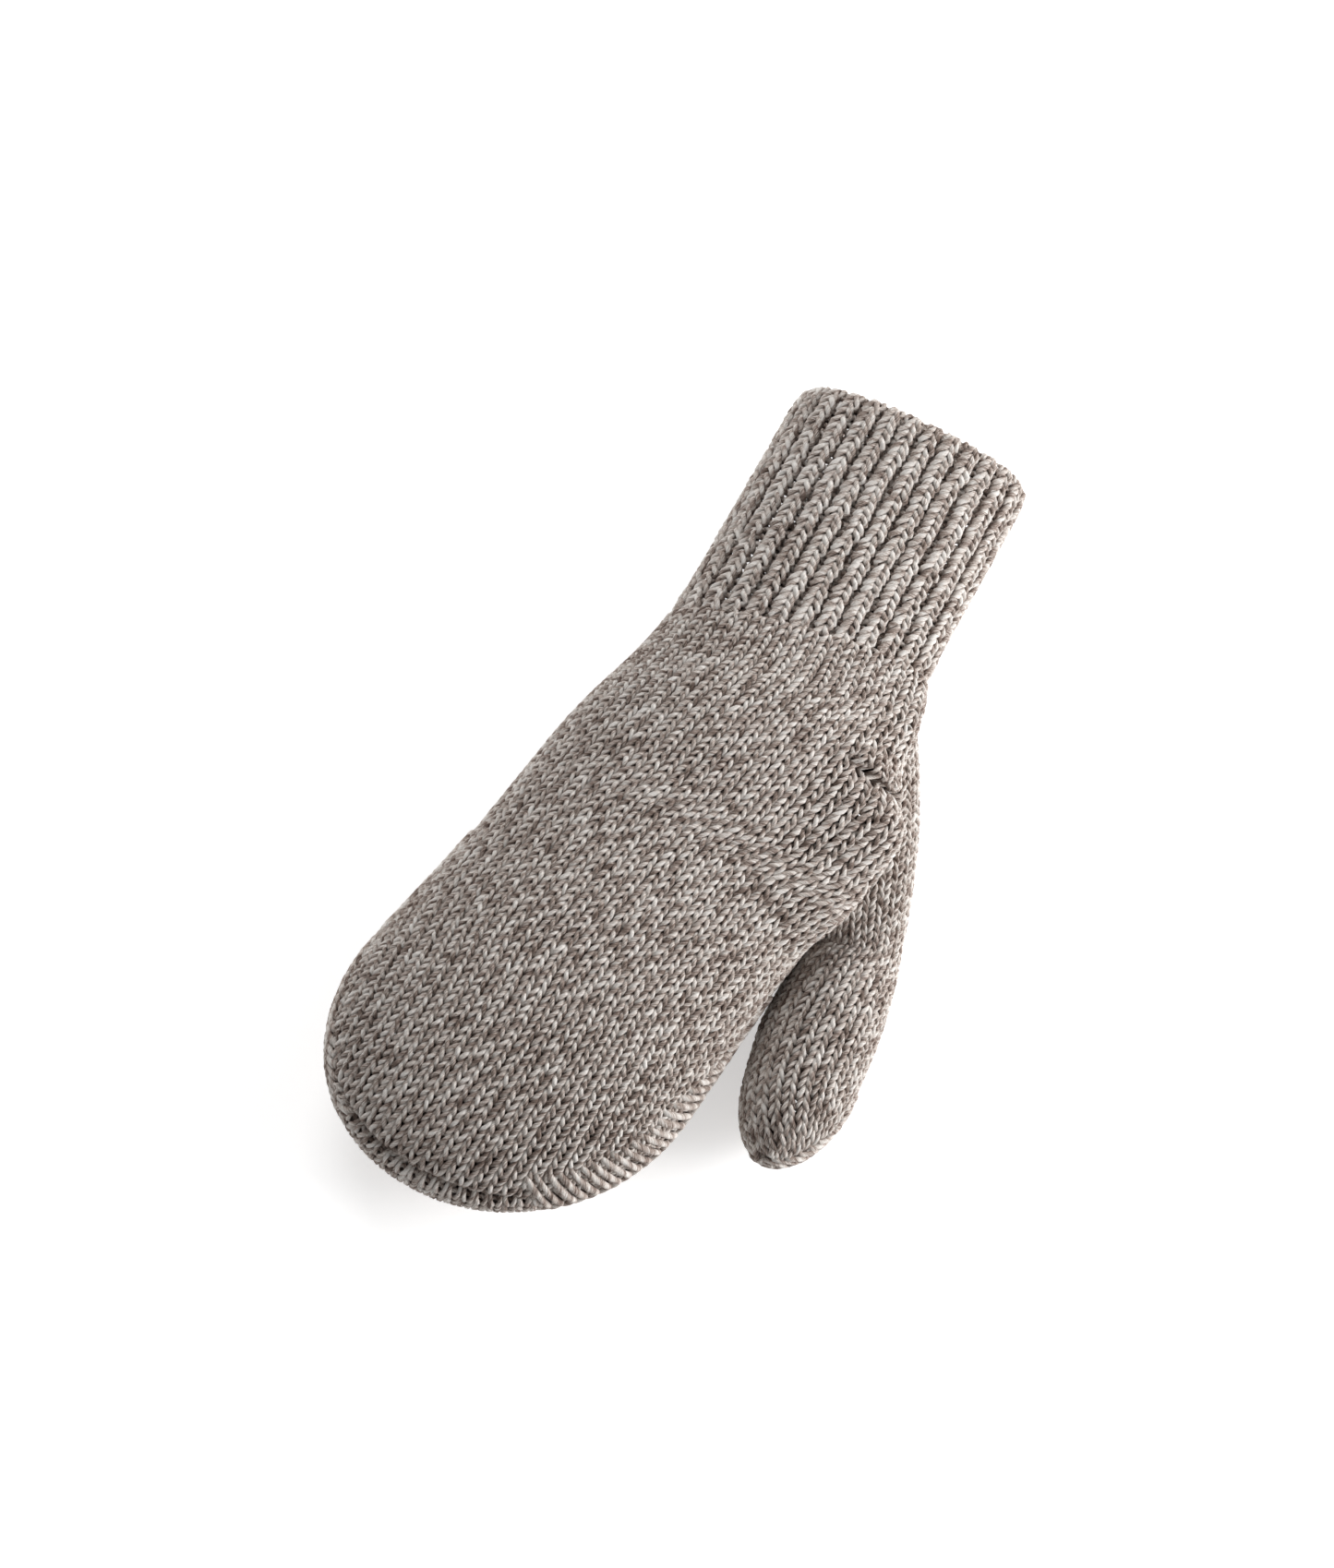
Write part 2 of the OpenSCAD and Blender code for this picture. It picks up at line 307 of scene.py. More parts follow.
def tube(strand, start_length):
    """Vertices, quads, caps and yarn coordinates of one strand."""
    points = strand.points
    count = len(points)
    if strand.closed:
        ahead = np.roll(points, -1, axis=0)
        behind = np.roll(points, 1, axis=0)
    else:
        ahead = np.concatenate([points[1:], points[-1:]])
        behind = np.concatenate([points[:1], points[:-1]])
    tangent = unit(ahead - behind)
    side = unit(np.cross(tangent, strand.outward))
    normal = np.cross(side, tangent)
    run = run_along(points)
    length = start_length + run
    theta = np.linspace(0, TAU, SIDES, endpoint=False)
    thick = strand.radius * (1 + THICK_VARIES * wandering(run, THICK_SPACING))
    lobes = 1 + PLY_LOBE * np.cos(2 * (theta[None] + length[:, None] * TAU / YARN_TURN))
    reach = (thick[:, None] * lobes)[..., None]
    ring = normal[:, None] * np.cos(theta)[None, :, None] + side[:, None] * np.sin(theta)[None, :, None]
    verts = (points[:, None] + ring * reach).reshape(-1, 3)
    yarn = np.stack([np.tile(np.cos(theta), count), np.tile(np.sin(theta), count),
                     np.repeat(length, SIDES)], axis=-1)
    # random tone along the yarn, with the strand's painted shade (darker where it lies low) taken off it
    tone_and_shade = TONE_VARIES * wandering(run, TONE_SPACING)
    tone_and_shade = tone_and_shade + LONG_TONE_VARIES * wandering(run, LONG_TONE_SPACING) - strand.shade
    rows = np.arange(count if strand.closed else count - 1)[:, None]
    cols = np.arange(SIDES)
    here, there = rows * SIDES, (rows + 1) % count * SIDES
    after = (cols + 1) % SIDES
    quads = np.stack([here + cols, there + cols, there + after, here + after], axis=-1).reshape(-1, 4)
    caps = [] if strand.closed else [cols, (count - 1) * SIDES + cols[::-1]]
    return verts, quads, caps, yarn, np.repeat(tone_and_shade, SIDES), length[-1]


def make_piece(name, strands, material):
    """One mesh object made of many strands."""
    verts, quads, caps, yarns, tones_and_shades = [], [], [], [], []
    base = 0
    length = 0.0
    for strand in strands:
        v, q, ends, yarn, tone_and_shade, length = tube(strand, length)
        verts.append(v)
        quads.append(q + base)
        caps += [end + base for end in ends]
        yarns.append(yarn)
        tones_and_shades.append(tone_and_shade)
        base += len(v)
    verts = (np.concatenate(verts) - FROM_EDGE) * MM
    quads = np.concatenate(quads)
    mesh = bpy.data.meshes.new(name)
    mesh.vertices.add(len(verts))
    mesh.vertices.foreach_set("co", verts.astype(np.float32).ravel())
    corners = np.concatenate([quads.ravel()] + caps)
    starts = np.concatenate([np.arange(len(quads)) * 4, quads.size + np.arange(len(caps)) * SIDES])
    mesh.loops.add(len(corners))
    mesh.loops.foreach_set("vertex_index", corners.astype(np.int32))
    mesh.polygons.add(len(starts))
    mesh.polygons.foreach_set("loop_start", starts.astype(np.int32))
    mesh.update(calc_edges=True)
    mesh.polygons.foreach_set("use_smooth", np.ones(len(starts), bool))
    attribute = mesh.attributes.new("yarn", "FLOAT_VECTOR", "POINT")
    attribute.data.foreach_set("vector", np.concatenate(yarns).astype(np.float32).ravel())
    attribute = mesh.attributes.new("tone_and_shade", "FLOAT", "POINT")
    attribute.data.foreach_set("value", np.concatenate(tones_and_shades).astype(np.float32))
    mesh.materials.append(material)
    piece = bpy.data.objects.new(name, mesh)
    bpy.context.scene.collection.objects.link(piece)
    return piece


# ---- knitting ----

LOOP_LEAN = 0.262
LOOP_RISE = 1.04
LOOP_DEPTH = 0.95
YARN_R = 0.7
JITTER = 0.045
LIFT_JITTER = 1.5
# painted shade: how much darker the yarn is painted where it lies lowest in the fabric
LOW_SHADE = 1.3
NUDGE = 0.3


def loops(count, lean=LOOP_LEAN, closed=False, jitter=JITTER):
    """Stocking stitches side by side: place in wales, rise in rows and height along the yarn."""
    last = 0 if closed else 1
    j = np.arange(count * SAMPLES + last)
    t = TAU * j / SAMPLES
    sway = rng.normal(0, jitter, count + 2)[j // SAMPLES]
    lift = rng.normal(0, jitter * LIFT_JITTER, count + 2)[j // SAMPLES]
    within = np.sin(t / 2) ** 2
    u = j / SAMPLES + lean * np.sin(2 * t) + sway * within
    rise = -LOOP_RISE * np.cos(t) + lift * within
    height = -LOOP_DEPTH * np.cos(2 * t)
    return u, rise, height


def knit(place, u, rise, height, radius, closed=False):
    """A strand through place(u, rise, height), with the fabric's outward direction."""
    points = place(u, rise, height)
    outward = unit(place(u, rise, height + NUDGE) - points)
    return Strand(points, outward, radius, closed, LOW_SHADE * (0.5 - height / (2 * LOOP_DEPTH)))


def tucked(height, drop=1.0):
    """The same heights with both ends of the yarn sunk into the fabric."""
    j = np.arange(len(height))
    from_end = np.minimum(j, len(height) - 1 - j)
    return height - drop * (1 - ease(from_end / (SAMPLES / 2)))


# ---- cuff: one by one rib with a rolled cast-on edge ----

RIBS = 28
RIB_COURSE = 2.42
RIB_LAYER = 2.3
RIB_YARN_R = 0.83
RIB_DEPTH = 0.8
RIB_RISE = 0.35
RIB_LEAN = 0.33
RIB_JITTER = 0.1
RIB_PHASE = 0.15
KNIT_SHARE = 0.7
JOIN_RELIEF = 0.4
JOIN_RELIEF_ROWS = 3.0
EDGE_RELIEF = 0.35
EDGE_RELIEF_FROM = -2
EDGE_RELIEF_ROWS = 4
ROLL_R = 1.9
ROLL_AT = ROLL_R + 2.6
ROLL_ROWS = 4
RIB_ROWS = round((CUFF_LENGTH - ROLL_AT) / RIB_COURSE)
RIB_PITCH = (CUFF_LENGTH - ROLL_AT) / RIB_ROWS


def around(u, half_count, s):
    """Angle of a place counted round the whole section from the little-finger side."""
    on_back = u < half_count
    back = quarter_length(s, BACK) * (1 - 2 * u / half_count)
    palm = quarter_length(s, PALM) * (2 * (u - half_count) / half_count - 1)
    return np.where(on_back, angle_at(back, s, BACK), angle_at(palm, s, PALM))


def cuff_place(row):
    """Where the rib's yarn goes; rows before the edge curl round to the inside."""
    def place(u, rise, height):
        run = ROLL_AT + (row + rise) * RIB_PITCH
        beyond = np.maximum(0, ROLL_AT - run)
        curl = np.minimum(beyond / ROLL_R, math.pi)
        inward = np.maximum(0, beyond - math.pi * ROLL_R)
        curled_s = ROLL_AT - (ROLL_R + height) * np.sin(curl) + inward
        curled_depth = RIB_LAYER + ROLL_R - (ROLL_R + height) * np.cos(curl)
        s = np.where(beyond > 0, curled_s, run)
        depth = np.where(beyond > 0, curled_depth, RIB_LAYER - height)
        angle = around(np.mod(u, RIBS), RIBS / 2, np.maximum(s, 0))
        return skin(angle, s, depth)
    return place


def rib_row(row):
    """A closed ring of knit and purl stitches in turn."""
    u, rise, _ = loops(2 * RIBS, RIB_LEAN, closed=True, jitter=RIB_JITTER)
    t = np.arange(2 * RIBS * SAMPLES) / SAMPLES
    rib = np.floor(t / 2)
    purl = np.mod(np.floor(t), 2)
    within = u - np.floor(t)
    u = rib + np.where(purl, KNIT_SHARE + within * (1 - KNIT_SHARE), within * KNIT_SHARE)
    strength = (mix(JOIN_RELIEF, 1, ease((RIB_ROWS - row) / JOIN_RELIEF_ROWS))
                * mix(EDGE_RELIEF, 1, grown(row, EDGE_RELIEF_FROM, EDGE_RELIEF_ROWS)))
    bulge = 1 - np.cos(2 * TAU * t) + RIB_RISE / RIB_DEPTH * np.sin(math.pi * t) ** 2
    height = np.where(purl, -1, 1) * RIB_DEPTH * strength * bulge
    return knit(cuff_place(row), u + RIB_PHASE, rise, height, RIB_YARN_R, closed=True)


# ---- hand: stocking stitch in rows from the join to the tip ----

WALE = 3.9
JOIN_WALES = 24
WALES = {BACK: 30, PALM: 31}
WALE_SETTLES = 14
SETTLED_AT = 190.0
TURNED_LEAN = -0.115
LEAN_GROWS = 24
HAND_COURSE = 2.78
JOIN_COURSE = 2.1
COURSE_SETTLES = 60
GUSSET_FROM = 86.0
GUSSET_TO = 150.0
GUSSET_MID = (GUSSET_FROM + GUSSET_TO) / 2
GUSSET_HALF = (GUSSET_TO - GUSSET_FROM) / 2
LIP_UP = math.radians(9)
GUSSET_DOWN = math.radians(46)
OPENING_OVERLAP = math.radians(8)
SEAM_HALF = 31.0
SEAM_HALF_LIMIT = SEAM_HALF + 3
ROW_CURVE_FROM = 196
ROW_CURVE_LENGTH = LENGTH - 200
TAIL_FROM = SETTLED_AT + 20
TAIL = TABLE_S > TAIL_FROM
EDGE_LENGTHS = {half: QUARTERS[half][0][TAIL][::-1] for half in (BACK, PALM)}
EDGE_S = TABLE_S[TAIL][::-1]


def wale_width(s, half):
    full = 2 * quarter_length(np.minimum(s, SETTLED_AT), half)
    joined = mix(full / JOIN_WALES, WALE, grown(s, GUSSET_FROM, WALE_SETTLES))
    return mix(joined, full / WALES[half], grown(s, GUSSET_TO - WALE_SETTLES, WALE_SETTLES))


def wale_place(u, s, half):
    """Distance from the middle line of the wale counted from the little-finger side."""
    edge = quarter_length(np.minimum(s, SETTLED_AT), half)
    drift = TURNED_LEAN * np.maximum(0, s - SETTLED_AT) * grown(s, SETTLED_AT, LEAN_GROWS)
    return edge + drift - u * wale_width(s, half)


def seam_drop(a, half):
    """How far before the tip the side edge is, at distance a from the middle line."""
    return LENGTH - np.interp(np.minimum(np.abs(a), SEAM_HALF_LIMIT), EDGE_LENGTHS[half], EDGE_S)


def row_curve(s):
    """How far a row follows the rounded tip instead of running straight across."""
    return grown(s, ROW_CURVE_FROM, ROW_CURVE_LENGTH)


def course_table():
    """Place of each row along the middle of the back."""
    s = TABLE_S[TABLE_S >= CUFF_LENGTH]
    middle = skin(np.full(len(s), math.pi / 2), s, LAYER)
    steps = np.linalg.norm(np.diff(middle, axis=0), axis=1)
    courses = mix(JOIN_COURSE, HAND_COURSE, grown(s[1:], CUFF_LENGTH, COURSE_SETTLES))
    return s, np.concatenate([[0], np.cumsum(steps / courses)])


COURSE_S, COURSE_ROWS = course_table()
HAND_ROWS = int(COURSE_ROWS[-1])


def s_of_row(row):
    return np.interp(row, COURSE_ROWS, COURSE_S)


def row_of_s(s):
    return float(np.interp(s, COURSE_S, COURSE_ROWS))


# The crease on the back where the thumb's wales begin, as angles from the thumb side and lengths
CREASE_AT = 109.5
CREASE_DEPTH = 3.2
CREASE_WIDTH = 2.6
CREASE_RIDGE = 1.3
RIDGE_BEFORE = 11
RIDGE_LENGTH = 9
CREASE_DROPS = 3
CREASE_DROPS_FROM = 0.5
CREASE_DROPS_OVER = 0.6
APEX_TURN = math.radians(58)
APEX_FADES = 0.2
SIDE_FADES = 0.1


def crease_depth(angle, s):
    """How far the line sinks where the wales of the back start beside the thumb's."""
    from_side = math.pi - angle
    window = ease((APEX_TURN - from_side) / APEX_FADES) * ease(from_side / SIDE_FADES)
    line = CREASE_AT - CREASE_DROPS * grown(from_side, CREASE_DROPS_FROM, CREASE_DROPS_OVER)
    ridge = -CREASE_RIDGE * ease((s - line + RIDGE_BEFORE) / RIDGE_LENGTH)
    hollow = CREASE_DEPTH * np.exp(-np.maximum(0, s - line) / CREASE_WIDTH)
    return window * np.where(s < line, ridge, hollow)


# The fold over the root of the thumb: each pair is where it starts along the mitten and how long it takes
FOLD = np.array([-9.5, -2.0, 3.5])
FOLD_GROWS = (100, 20)
FOLD_ENDS = (142, 22)
FOLD_EASES = (120, 18)
FOLD_EASED_BY = 0.3
FOLD_LIP_TURN = 0.38
FOLD_TOP_TURN = 1.2
FOLD_TOP_FADES = 0.75
SIDE_FILL = np.array([-2.4, 0.0, 0.0])
FILL_GROWS = (72, 18)
FILL_ENDS = (94, 16)
FILL_TURN = 0.7


def fold_over(angle, s):
    """Shift of the fabric at the thumb side: its fold over the thumb's root, and a fill before the gusset."""
    from_side = math.pi - np.abs(angle)
    along = grown(s, *FOLD_GROWS) * (1 - grown(s, *FOLD_ENDS)) * (1 - FOLD_EASED_BY * grown(s, *FOLD_EASES))
    over = ease(from_side / FOLD_LIP_TURN) * ease((FOLD_TOP_TURN - from_side) / FOLD_TOP_FADES) * (angle > 0)
    fill = grown(s, *FILL_GROWS) * (1 - grown(s, *FILL_ENDS)) * ease(1 - from_side / FILL_TURN)
    return (along * over)[..., None] * FOLD + fill[..., None] * SIDE_FILL


GUSSET_WALE = 4.4
BRANCH_JOIN = 14.5
BRANCH_APEX = 27.0


def branched_place(u, s, whole_wales, thumb_wales):
    """Distance from the middle of the back: hand wales first, then the thumb's, which follow the side."""
    hand_end = wale_place(whole_wales, s, BACK)
    width = (quarter_length(s, BACK) + hand_end) / thumb_wales
    return np.where(u < whole_wales, wale_place(u, s, BACK), hand_end - (u - whole_wales) * width)


def branch_counts(s):
    """How many wales of the back belong to the hand and how many follow the thumb side."""
    edge = float(quarter_length(s, BACK))
    share = np.clip((s - CUFF_LENGTH) / (CREASE_AT - CUFF_LENGTH), 0, 1)
    branch_at = mix(BRANCH_JOIN, BRANCH_APEX, share) - edge
    whole_wales = int((edge - branch_at) / float(wale_width(s, BACK)))
    hand_end = float(wale_place(whole_wales, s, BACK))
    return whole_wales, round((edge + hand_end) / GUSSET_WALE)


def hand_point(u, row, height, branch):
    """u runs from the little-finger side: over the back above zero, under the palm below it."""
    flat_s = s_of_row(row) + np.minimum(0, row) * JOIN_COURSE
    found = []
    for half in (BACK, PALM):
        if branch and half == BACK:
            a = branched_place(np.abs(u), flat_s, *branch)
        else:
            a = wale_place(np.abs(u), flat_s, half)
        s = np.minimum(flat_s - row_curve(flat_s) * seam_drop(a, half), LENGTH)
        angle = angle_at(a, s, half)
        sunk = crease_depth(angle, s) if half == BACK else 0
        found.append(skin(angle, s, LAYER - height + sunk) + fold_over(angle, s))
    return np.where((u >= 0)[:, None], found[0], found[1])


# Places within a wale that decide whether it is knitted: its middle, and close to its start
WALE_MIDDLE = 0.5
WALE_START = 0.1


def opening_share(s):
    t = (s - GUSSET_MID) / GUSSET_HALF
    return np.sqrt(np.clip(1 - t * t, 0, 1))


def last_wale(row, half):
    """How many whole wales from the little-finger side reach the thumb side on this row."""
    s = s_of_row(row)
    both_s = np.array([s, s])
    reach = LIP_UP if half == BACK else GUSSET_DOWN
    limit = math.pi - max(0, reach * opening_share(s) - OPENING_OVERLAP)
    count = 0
    while True:
        a = wale_place(count + np.array([WALE_MIDDLE, WALE_START]), both_s, half)
        angle = abs(angle_at(a, both_s, half)[1])
        if a[0] < -quarter_length(s, half) or angle > limit:
            return count
        count += 1


def hand_row(row):
    """One row round the hand, broken at the thumb side where the gusset opens it."""
    s = s_of_row(row)
    whole = not GUSSET_FROM < s < GUSSET_TO
    if whole:
        back, palm = (round(2 * float(quarter_length(s, half)) / float(wale_width(s, half)))
                      for half in (BACK, PALM))
    else:
        back, palm = last_wale(row, BACK), last_wale(row, PALM)
    branch = branch_counts(s) if s < CREASE_AT else None
    if branch:
        back = sum(branch)
    u, rise, height = loops(back + palm, closed=whole)
    if not whole:
        height = tucked(height)

    def place(u, rise, height):
        return hand_point(u, row + rise, height, branch)
    return knit(place, u - palm, rise, height, YARN_R, closed=whole)


# ---- fingers: rows across the back and across the palm, between the decrease bands ----

BAND_FROM = KNUCKLE_AT + 6
BAND_HALF_START = 0.3
BAND_HALF = 5.6
BAND_WIDENS = 40
SIDE_MARGIN = 1.2
LITTLE_SHARE = 0.5
OUTER_WALES = 6
FINGER_TUCK = 1.2
SHORT_OF_TIP = 0.2


def side_half(s):
    """Half width of the decrease bands, round the section from the side edge."""
    return mix(BAND_HALF_START, BAND_HALF, grown(s, BAND_FROM, BAND_WIDENS))


def is_kept(wale, flat_s, half):
    """Whether a wale lies between the decrease bands; on the little-finger side it may reach closer."""
    a = wale_place(wale + WALE_MIDDLE, flat_s, half)
    s = flat_s - row_curve(flat_s) * seam_drop(a, half)
    left_free = side_half(s) * (LITTLE_SHARE if a > 0 else 1) - SIDE_MARGIN
    return quarter_length(s, half) - abs(a) > left_free


def finger_row(row, half):
    """One row across the back or the palm of the fingers."""
    kept = [k for k in range(-OUTER_WALES, 2 * WALES[half]) if is_kept(k, s_of_row(row), half)]
    if len(kept) < 2:
        return None
    u, rise, height = loops(len(kept))

    def place(u, rise, height):
        flat_s = s_of_row(row + rise)
        a = wale_place(u, flat_s, half)
        s = np.minimum(flat_s - row_curve(flat_s) * seam_drop(a, half), LENGTH - SHORT_OF_TIP)
        return skin(angle_at(a, s, half), s, LAYER - height)
    return knit(place, u + kept[0], rise, tucked(height, FINGER_TUCK), YARN_R)


# ---- thumb ----

THUMB_ROOT = joint_place("thumb_swing") + FROM_EDGE
THUMB_BEND = np.array([-59.9, 152.6, 16.0])
THUMB_END = np.array([-61.4, 212.5, 16.0])
THUMB_REACH = np.linalg.norm(THUMB_BEND - THUMB_ROOT) + np.linalg.norm(THUMB_END - THUMB_BEND)
THUMB_ROOT_R = 12.4
THUMB_R = 15.6
THUMB_HIGH_R = 15.5
THUMB_WIDENS = 1.3
ROOT_SINK = 5.5
ROOT_SINK_FADES = 0.55
CROTCH_FULL = 2.8
CROTCH_GROWS = 0.25
CROTCH_FADES = (0.6, 0.25)
THUMB_TIP_LENGTH = 26.0
THUMB_TIP_SHARE = 0.62
THUMB_TIP_FROM = 1 - THUMB_TIP_LENGTH / THUMB_REACH * THUMB_TIP_SHARE
THUMB_WALES = 22
THUMB_COURSE = 2.7
UPWARDS = np.array([0.0, 0.0, 1.0])


def thumb_centre(t):
    t = np.asarray(t)[..., None]
    return (1 - t) ** 2 * THUMB_ROOT + 2 * t * (1 - t) * THUMB_BEND + t * t * THUMB_END


def thumb_run(t):
    t = np.asarray(t)[..., None]
    return unit((1 - t) * (THUMB_BEND - THUMB_ROOT) + t * (THUMB_END - THUMB_BEND))


def thumb_point(turn, t, depth):
    """A point of the thumb: turn 0 is its outer side, a quarter turn its back, a half the crotch."""
    turn, t, depth = np.broadcast_arrays(turn, t, depth)
    run = thumb_run(t)
    side = unit(np.cross(UPWARDS, run))
    u = np.clip((t - THUMB_TIP_FROM) / (1 - THUMB_TIP_FROM), 0, 1)
    share = np.sqrt(1 - u * u)
    half_w = mix(THUMB_ROOT_R, THUMB_R, ease(t * THUMB_WIDENS)) - depth
    half_h = THUMB_HIGH_R - depth
    spot = (thumb_centre(t) - run * (depth * t * t)[..., None]
            + side * (half_w * share * np.cos(turn))[..., None]
            + UPWARDS * (half_h * share * np.sin(turn))[..., None])
    spot[..., 2] -= ROOT_SINK * (1 - ease(t / ROOT_SINK_FADES)) * np.maximum(0, np.sin(turn))
    fullness = CROTCH_FULL * ease(t / CROTCH_GROWS) * (1 - grown(t, *CROTCH_FADES))
    spot -= side * (fullness * np.maximum(0, -np.cos(turn)))[..., None]
    spot[..., 2] = np.maximum(spot[..., 2], depth)
    return spot


def opening_point(turn, depth):
    """The loop of the gusset's opening on the hand; turn 0 is its point near the cuff."""
    reach = np.where(np.sin(turn) >= 0, LIP_UP, GUSSET_DOWN)
    return skin(math.pi - reach * np.sin(turn), GUSSET_MID - GUSSET_HALF * np.cos(turn), depth)


RING_STEPS = 241
RING_T = np.linspace(0, 0.998, 240)
RING_SHARES = np.linspace(0, 1, 121)


def thumb_ring_table(t):
    """Distances round the thumb's section from the crotch side, by way of the palm."""
    turns = math.pi + np.linspace(0, TAU, RING_STEPS)
    return run_along(thumb_point(turns, t, LAYER)), turns


def thumb_turn_tables():
    """Round length of the thumb at each t, and the turn at each share of it."""
    totals, turns = [], []
    for t in RING_T:
        run, ring_turns = thumb_ring_table(t)
        totals.append(run[-1])
        turns.append(np.interp(RING_SHARES, run / run[-1], ring_turns))
    return np.array(totals), np.array(turns)


RING_TOTALS, RING_TURNS = thumb_turn_tables()
TIP_WALE = thumb_ring_table(THUMB_TIP_FROM)[0][-1] / THUMB_WALES


def turn_at(u, t):
    """Turn of the wale counted from the crotch side; towards the tip the wales keep their width."""
    total = np.interp(t, RING_T, RING_TOTALS)
    width = np.where(t > THUMB_TIP_FROM, TIP_WALE, total / THUMB_WALES)
    share = u * width / total
    laps = np.floor(share)
    return between(RING_TURNS, t / RING_T[1], (share - laps) * (len(RING_SHARES) - 1)) + laps * TAU


LENGTH_STEPS = 400
ROWS_SHORT_OF_END = 2


def thumb_length_table():
    """Distance along the thumb's skin for each t, as the mean of its sides."""
    t = 1 - (1 - np.linspace(0, 1, LENGTH_STEPS)) ** 2
    runs = [run_along(thumb_point(turn, t, LAYER)) for turn in (math.pi / 2, 0, math.pi)]
    return t, sum(runs) / len(runs)


THUMB_T, THUMB_RUN = thumb_length_table()
THUMB_ROWS = int((THUMB_RUN[-1] - ROWS_SHORT_OF_END) / THUMB_COURSE)
TIP_RUN = float(np.interp(THUMB_TIP_FROM, THUMB_T, THUMB_RUN))

GUSSET_BULGE = 3.0
GUSSET_UNDER = 3.2
TUCK_ENDS = 0.4
TUCK_SIDES = 1.5
TUCK_SHARE = 0.12


def thumb_place(row):
    """u counts wales from the crotch side; rows below zero are the gusset's."""
    def place(u, rise, height):
        run = (row + rise) * THUMB_COURSE
        t = np.interp(np.maximum(run, 0), THUMB_RUN, THUMB_T)
        turn = turn_at(u, t)
        on_thumb = thumb_point(turn, t, LAYER - height)
        ring = thumb_point(turn, 0.0, LAYER - height)
        start = opening_point(turn, LAYER - height)
        long = np.linalg.norm(ring - start, axis=1)
        share = 1 - np.maximum(-run, 0) / np.maximum(long, 1)
        tuck = mix(TUCK_ENDS, TUCK_SIDES, ease(np.abs(np.sin(turn)) * 2)) * (1 - ease(share / TUCK_SHARE))
        start = opening_point(turn, LAYER - height + tuck)
        bulge = GUSSET_BULGE * np.sin(math.pi * np.clip(share, 0, 1)) * np.maximum(0, np.cos(turn))
        out = unit(np.cross(UPWARDS, thumb_run(np.zeros(len(turn)))))
        on_gusset = mix(start, ring, share[:, None]) + bulge[:, None] * out
        return np.where((run >= 0)[:, None], on_thumb, on_gusset)
    return place


def gusset_lengths(u):
    turn = turn_at(u, np.zeros(len(u)))
    return np.linalg.norm(opening_point(turn, LAYER) - thumb_point(turn, 0.0, LAYER), axis=1)


def gusset_row(row):
    """A row over the outer side of the gusset, as wide as the opening leaves it."""
    centres = np.arange(THUMB_WALES) + WALE_MIDDLE
    kept = np.flatnonzero(gusset_lengths(centres) > -row * THUMB_COURSE - GUSSET_UNDER)
    if len(kept) < 2:
        return None
    u, rise, height = loops(len(kept))
    return knit(thumb_place(row), u + kept[0], rise, tucked(height), YARN_R)


def thumb_row(row):
    """A ring round the thumb, or beyond its tip's start an arc open on the outer side for the chain."""
    run = row * THUMB_COURSE
    if run <= TIP_RUN:
        u, rise, height = loops(THUMB_WALES, closed=True)
        return knit(thumb_place(row), u, rise, height, YARN_R, closed=True)
    t = float(np.interp(run, THUMB_RUN, THUMB_T))
    half_round = thumb_ring_table(t)[0][-1] / 2
    each_side = round((half_round - 1) / TIP_WALE)
    if each_side < 1:
        return None
    u, rise, height = loops(2 * each_side)
    return knit(thumb_place(row), u - each_side, rise, tucked(height), YARN_R)


# ---- chains of large stitches over the decreases ----

CHAIN_SAMPLES = 15
CHAIN_HEIGHT = 1.4
CHAIN_THIN_LOWER = 0.9
CHAIN_LEG_LOWER = 0.4
CHAIN_END_LOWER = 2.4
CHAIN_END_FROM = (0.85, 0.15)
CHAIN_LEG_CURVE = 1.15
CHAIN_JITTER = 0.12
THIN_THINNER = 0.3
THIN_SHADE = 0.7


def chain(edge_point, total, step, across, along, radius):
    """V stitches along an edge: each has its point at the edge and its legs reach back over both faces."""
    strands = []
    v = np.linspace(-1, 1, CHAIN_SAMPLES)
    reach = np.abs(v)
    for i in range(2 * int(total / step)):
        at = i * step / 2
        thin = i % 2
        height = (CHAIN_HEIGHT - CHAIN_THIN_LOWER * thin - CHAIN_LEG_LOWER * reach ** 2
                  - CHAIN_END_LOWER * grown(reach, *CHAIN_END_FROM))
        run = at + along * reach ** CHAIN_LEG_CURVE + rng.normal(0, CHAIN_JITTER)
        points = edge_point(run, v * across(at), height)
        outward = unit(edge_point(run, v * across(at), height + NUDGE) - points)
        strands.append(Strand(points, outward, radius * (1 - THIN_THINNER * thin), shade=THIN_SHADE * thin))
    return strands


# ---- the rim: the side edges and the tip, followed from the thumb side round to the little finger ----

RIM_STEP = 1.0
RIM_SAMPLES = 500
RIM_COLUMNS = 80
RIM_INWARD = 21.0
RIM_ACROSS = np.linspace(0, 15, 31)


def rim_outline():
    """Points of the mid-plane outline at even distances, with the inward direction."""
    left = LENGTH - BAND_FROM
    along = np.linspace(BAND_FROM, LENGTH, RIM_SAMPLES)
    along = LENGTH - left * (1 - (along - BAND_FROM) / left) ** 2
    thumb_side = skin(np.full(RIM_SAMPLES, math.pi), along, LAYER)
    little_side = skin(np.zeros(RIM_SAMPLES), along, LAYER)[::-1]
    points = np.concatenate([thumb_side, little_side[1:]])[:, :2]
    run = run_along(points)
    even = np.arange(0, run[-1], RIM_STEP)
    spots = np.stack([np.interp(even, run, points[:, k]) for k in (0, 1)], axis=-1)
    tangent = unit(np.gradient(spots, axis=0))
    inward = np.stack([tangent[:, 1], -tangent[:, 0]], axis=-1)
    return even, spots, inward


RIM_RUN, RIM_SPOTS, RIM_INWARDS = rim_outline()
RIM_TOTAL = RIM_RUN[-1]


